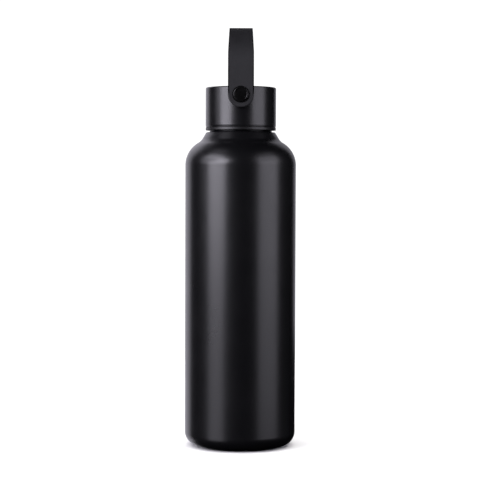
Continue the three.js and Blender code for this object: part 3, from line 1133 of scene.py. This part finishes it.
def carryStrap(s):
    near = s["near"]
    skin = -handleLow.y
    end = handleHigh.x
    arch = handleHigh.z - skin
    centre = (0, -skin * mm, pivotHeight * mm)
    deselectAll()
    bpy.ops.mesh.primitive_circle_add(
        vertices=s["sides"],
        radius=s["boltHole"] * mm,
        fill_type="NGON",
        location=centre,
        rotation=(quarterTurn, 0, 0),
    )
    piece = bpy.context.object
    piece.name = piece.data.name = "carryStrap"
    bpy.ops.object.transform_apply(location=True, rotation=True, scale=True)

    # rings grow outwards from the pin to the round end
    bpy.ops.object.mode_set(mode="EDIT")
    radius = s["boltHole"]

    def onRing(edge, spots):
        return all(abs(fromPin(p) - radius) < near for p in spots)

    for nextRadius in (s["seatRadius"], s["seatRadius"] + s["seatRing"], end):
        selectOnly(piece, "EDGE", onRing)
        share = nextRadius / radius
        bpy.ops.mesh.extrude_edges_move()
        bpy.ops.transform.resize(value=(share,) * 3, center_override=centre)
        radius = nextRadius

    # the upper half of the last ring becomes a straight line, which is drawn up the leg
    def upperHalf(edge, spots):
        return all(abs(fromPin(p) - end) < near and p.z > pivotHeight - near for p in spots)

    line = pivotHeight + end + 2
    selectOnly(piece, "EDGE", upperHalf)
    bpy.ops.mesh.extrude_edges_move()
    bpy.ops.transform.resize(value=(1, 1, 0), center_override=(0, 0, line * mm))
    stride = (0, 0, (arch - line) / s["legSteps"] * mm)
    for i in range(s["legSteps"]):
        bpy.ops.mesh.extrude_edges_move(TRANSFORM_OT_translate={"value": stride})
    crown = (0, 0, arch * mm)
    bpy.ops.mesh.spin(steps=s["archSteps"], angle=quarterTurn, center=crown, axis=(1, 0, 0))
    bpy.ops.mesh.select_all(action="SELECT")
    bpy.ops.mesh.remove_doubles(threshold=0.004 * mm)
    bpy.ops.object.mode_set(mode="OBJECT")

    # the strap narrows a little towards its crown
    first = pivotHeight + s["taperFrom"]
    last = handleHigh.z
    for vertex in piece.data.vertices:
        share = max(0, (vertex.co.z / mm - first) / (last - first))
        vertex.co.x *= 1 - share * (1 - s["crownWidth"] / 2 / end)

    applyModifier(
        piece,
        "MIRROR",
        use_axis=(False, True, False),
        use_clip=True,
        merge_threshold=0.02 * mm,
    )
    bpy.ops.object.mode_set(mode="EDIT")
    bpy.ops.mesh.select_all(action="SELECT")
    bpy.ops.mesh.normals_make_consistent(inside=False)
    bpy.ops.object.mode_set(mode="OBJECT")
    if piece.data.polygons[0].normal.y > 0:
        piece.data.flip_normals()
    applyModifier(piece, "SOLIDIFY", thickness=s["thickness"] * mm, offset=-1, use_even_offset=True)

    # a round pocket for each pin head, with a bolt hole through its floor
    bpy.ops.object.mode_set(mode="EDIT")
    for side in (-1, 1):
        floor = skin - s["seatDepth"]
        inner = skin - s["thickness"]

        def inPocket(face, spots):
            flat = all(abs(side * p.y - skin) < near for p in spots)
            return flat and all(fromPin(p) < s["seatRadius"] + near for p in spots)

        def inHole(face, spots):
            out = side * spots[0].y
            level = abs(out - floor) < near or abs(out - inner) < near
            inside = all(fromPin(p) < s["boltHole"] + near for p in spots)
            return level and inside and abs(face.normal.y) > 0.9

        def onHoleEdge(edge, spots):
            onRim = all(abs(fromPin(p) - s["boltHole"]) < near for p in spots)
            return onRim and side * spots[0].y > 0

        selectOnly(piece, "FACE", inPocket)
        drop = (0, -side * s["seatDepth"] * mm, 0)
        bpy.ops.mesh.extrude_region_move(TRANSFORM_OT_translate={"value": drop})
        selectOnly(piece, "FACE", inHole)
        bpy.ops.mesh.delete(type="ONLY_FACE")
        selectOnly(piece, "EDGE", onHoleEdge)
        bpy.ops.mesh.bridge_edge_loops()

    # the long edges and the pocket's lip are rounded over
    def onLip(edge, spots):
        onSkin = all(abs(abs(p.y) - skin) < near for p in spots)
        return onSkin and all(abs(fromPin(p) - s["seatRadius"]) < near for p in spots)

    selectOnly(piece, "EDGE", onLip)
    bpy.ops.mesh.bevel(offset=s["lipRound"] * mm, segments=6, affect="EDGES")
    bpy.ops.object.mode_set(mode="OBJECT")
    edgeFaces = {}
    for face in piece.data.polygons:
        for key in face.edge_keys:
            edgeFaces.setdefault(key, []).append(face.normal)

    def onOutline(edge, spots):
        if any(fromPin(p) < end - 0.5 for p in spots):
            return False
        first, second = edgeFaces[tuple(sorted(edge.vertices))]
        return first.dot(second) < 0.3

    bpy.ops.object.mode_set(mode="EDIT")
    selectOnly(piece, "EDGE", onOutline)
    bpy.ops.mesh.bevel(offset=s["edgeRound"] * mm, segments=6, affect="EDGES")
    closeSeams(piece)
    shade(piece, 40)
    return piece


place(carryStrap(strapSizes), finishes["strap"], "handle", "strap_rubber", "carry_handle")
print("carry handle made")


# studio

studioSizes = {
    "camera": (-0.0004, -1.046, 0.178),
    "pitch": 2.23,
    "roll": -0.2,
    "lens": 117.3,
    "middle": (0, 0, 0.14),
    "reach": 1.3,
    "tint": (0.915, 0.89, 1.0),
    "floorRadius": 0.5,
    "floorDrop": 0.0002,
    "floorLightHeight": 1.4,
    "floorLightWidth": 2.6,
    "floorLightBrightness": 2.7,
    "floorTint": (1.0, 0.99, 0.97),
    "background": 1.1,
}

# soft panels round the bottle: bearing from the camera's side (right is positive) and
# height angle, width and height in degrees as the bottle sees them, and brightness
softPanels = {
    "leftLow": (-51, -14, 34, 38, 1.3),
    "leftKey": (-50, 8, 39, 18, 6.7),
    "leftUpper": (-70, 19, 38, 27, 2.3),
    "leftInner": (-39, 20, 26, 16, 8.5),
    "leftTop": (-58, 33, 42, 16, 4.4),
    "leftHigh": (-66, 52, 44, 22, 0.7),
    "rightLow": (60, -4, 47, 26, 1.3),
    "rightKey": (59, 6, 46, 20, 1.6),
    "rightUpper": (61, 22, 54, 24, 2.3),
    "rightTop": (64, 40, 48, 16, 0.7),
    "rightFar": (104, 8, 38, 60, 0.03),
    "leftBack": (-149, 3, 50, 90, 1.15),
    "leftBackTop": (-137, 39, 55, 33, 0.3),
    "rightBack": (160, 16, 35, 52, 0.55),
}


def areaLight(name, spot, width, tall, brightness, target):
    lamp = bpy.data.lights.new(name, "AREA")
    lamp.shape = "RECTANGLE"
    lamp.size = width
    lamp.size_y = tall
    lamp.energy = brightness * math.pi * width * tall
    lamp.color = studioSizes["tint"]
    panel = bpy.data.objects.new(name, lamp)
    bpy.context.collection.objects.link(panel)
    panel.location = spot
    panel.rotation_euler = (Vector(spot) - Vector(target)).to_track_quat("Z", "Y").to_euler()
    panel.visible_camera = False
    return panel


def softPanel(name, bearing, rise, wide, tall, brightness):
    turn, lift = math.radians(bearing), math.radians(rise)
    middle = Vector(studioSizes["middle"])
    level = math.cos(lift)
    out = Vector((level * math.sin(turn), -level * math.cos(turn), math.sin(lift)))
    reach = studioSizes["reach"]
    width = reach * math.radians(wide) * level
    height = reach * math.radians(tall)
    return areaLight(name, middle + out * reach, width, height, brightness, middle)


for name, values in softPanels.items():
    softPanel(name, *values)

deselectAll()
bpy.ops.mesh.primitive_circle_add(
    vertices=96,
    radius=studioSizes["floorRadius"],
    fill_type="NGON",
    location=(0, 0, -studioSizes["floorDrop"]),
)
floor = bpy.context.object
floor.name = "floor"
floor.visible_glossy = False  # the floor neither lights the bottle nor shows in it
floor.visible_diffuse = False
floor.visible_shadow = False
paper = newFinish("paper", (0.8, 0.8, 0.8), 0.9)
floor.data.materials.append(paper)

# a light that reaches only the floor
floorOnly = bpy.data.collections.new("floorOnly")
floorOnly.objects.link(floor)
above = (0, 0, studioSizes["floorLightHeight"])
side = studioSizes["floorLightWidth"]
glow = studioSizes["floorLightBrightness"]
floorLight = areaLight("floorLight", above, side, side, glow, (0, 0, 0))
floorLight.data.color = studioSizes["floorTint"]
floorLight.light_linking.receiver_collection = floorOnly

# a white background that only the camera sees
world = bpy.data.worlds.new("studio")
bpy.context.scene.world = world
world.use_nodes = True
sky = world.node_tree
paths = sky.nodes.new("ShaderNodeLightPath")
air = sky.nodes["Background"]
air.inputs["Color"].default_value = (1, 1, 1, 1)
room = sky.nodes.new("ShaderNodeMapRange")
room.inputs["To Min"].default_value = 0.0
room.inputs["To Max"].default_value = studioSizes["background"]
sky.links.new(paths.outputs["Is Camera Ray"], room.inputs["Value"])
sky.links.new(room.outputs["Result"], air.inputs["Strength"])

lens = bpy.data.cameras.new("studioCamera")
lens.lens = studioSizes["lens"]
lens.sensor_width = 36
camera = bpy.data.objects.new("studioCamera", lens)
bpy.context.collection.objects.link(camera)
camera.location = studioSizes["camera"]
tilt = math.radians(90 - studioSizes["pitch"])
camera.rotation_euler = (tilt, math.radians(studioSizes["roll"]), 0)
bpy.context.scene.camera = camera
bpy.context.scene.view_settings.view_transform = "Standard"
print("studio ready")
